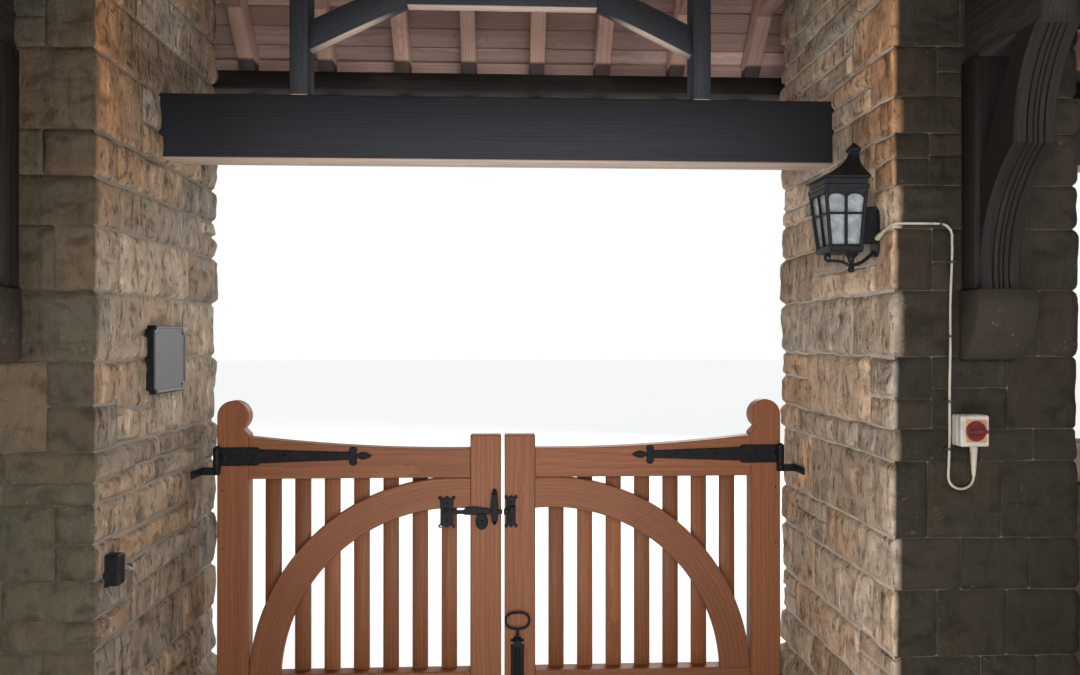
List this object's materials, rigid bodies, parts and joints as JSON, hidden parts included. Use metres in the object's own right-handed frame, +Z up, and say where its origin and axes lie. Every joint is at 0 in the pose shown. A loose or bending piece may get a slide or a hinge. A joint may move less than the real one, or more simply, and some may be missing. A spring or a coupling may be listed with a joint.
{
  "type": "lychgate",
  "caption": "Roofed timber and stone churchyard gateway: rubble piers carry a steep open roof over a pair of arched picket gates with latch and drop bolt.",
  "frame": {"origin": "on the ground in the middle of the plan, under the ridge", "axes": "+X along the wall and the ridge, +Y out through the gates to the road, +Z up"},
  "size_m": [6.62, 5.2, 5.5694],
  "materials": {
    "masonry": "rock-faced sandstone with pale mortar",
    "dark_timber": "black-stained oak",
    "roof_timber": "sawn softwood, oiled",
    "gate_timber": "planed hardwood, oiled",
    "roof_tiles": "plain clay tiles",
    "ironwork": "black paint",
    "lantern_metal": "black satin paint",
    "lantern_glass": "clear panes",
    "cable_sheath": "pale sheath, weathered",
    "grey_plastic": "moulded grey",
    "red_plastic": "red rotary knob",
    "plaque_slate": "honed, bare face",
    "catch_metal": "painted, worn at the arm"
  },
  "bodies": {
    "structure": {"barge_boards": "dark_timber", "common_rafters": "roof_timber", "corbels": "masonry", "cusped_braces": "dark_timber", "eaves_plates": "dark_timber", "end_low_walls": "masonry", "end_piers": "masonry", "frame_collars": "dark_timber", "frame_head_beams": "dark_timber", "frame_posts": "dark_timber", "frame_rakers": "dark_timber", "front_pier_left": "masonry", "front_pier_right": "masonry", "front_roof_slope": "roof_tiles", "front_tie_beam": "dark_timber", "gable_boarding": "dark_timber", "gable_tie_beams": "dark_timber", "gate_catch": "catch_metal", "hammer_beams": "dark_timber", "hammer_posts": "dark_timber", "isolator_box": "grey_plastic", "isolator_knob": "red_plastic", "king_posts": "dark_timber", "lantern_frame": "lantern_metal", "lantern_panes": "lantern_glass", "left_pintles": "ironwork", "lighting_cable": "cable_sheath", "plaque": "plaque_slate", "principal_rafters": "roof_timber", "rafter_ties": "roof_timber", "rear_pier_left": "masonry", "rear_pier_right": "masonry", "rear_roof_slope": "roof_tiles", "rear_tie_beam": "dark_timber", "ridge_board": "roof_timber", "ridge_tiles": "roof_tiles", "right_pintles": "ironwork", "side_low_walls": "masonry", "side_plates": "dark_timber", "side_tie_beams": "dark_timber", "truss_collars": "dark_timber", "wall_posts": "dark_timber"},
    "left_gate": {"left_gate_stiles": "gate_timber", "left_gate_rails": "gate_timber", "left_gate_arch_brace": "gate_timber", "left_gate_pickets": "gate_timber", "left_strap_hinges": "ironwork", "latch_plates": "ironwork"},
    "right_gate": {"right_gate_stiles": "gate_timber", "right_gate_rails": "gate_timber", "right_gate_arch_brace": "gate_timber", "right_gate_pickets": "gate_timber", "right_strap_hinges": "ironwork", "latch_keeper": "ironwork", "bolt_guide": "ironwork"},
    "latch": {"latch_bar": "ironwork"},
    "bolt": {"drop_bolt": "ironwork"}
  },
  "joints": [
    {"name": "left_gate_hinge", "type": "hinge", "parent": "structure", "child": "left_gate", "pos_m": [-1.09, 2.008, 1.072], "axis": [0, 0, -1], "range_deg": [0, 90]},
    {"name": "right_gate_hinge", "type": "hinge", "parent": "structure", "child": "right_gate", "pos_m": [1.09, 2.008, 1.072], "axis": [0, 0, 1], "range_deg": [0, 90]},
    {"name": "latch_pivot", "type": "hinge", "parent": "left_gate", "child": "latch", "pos_m": [-0.217, 2.0197, 0.853], "axis": [0, -1, 0], "range_deg": [0, 10]},
    {"name": "drop_bolt_slide", "type": "slide", "parent": "right_gate", "child": "bolt", "axis": [0, 0, 1], "range_m": [0, 0.09]}
  ]
}
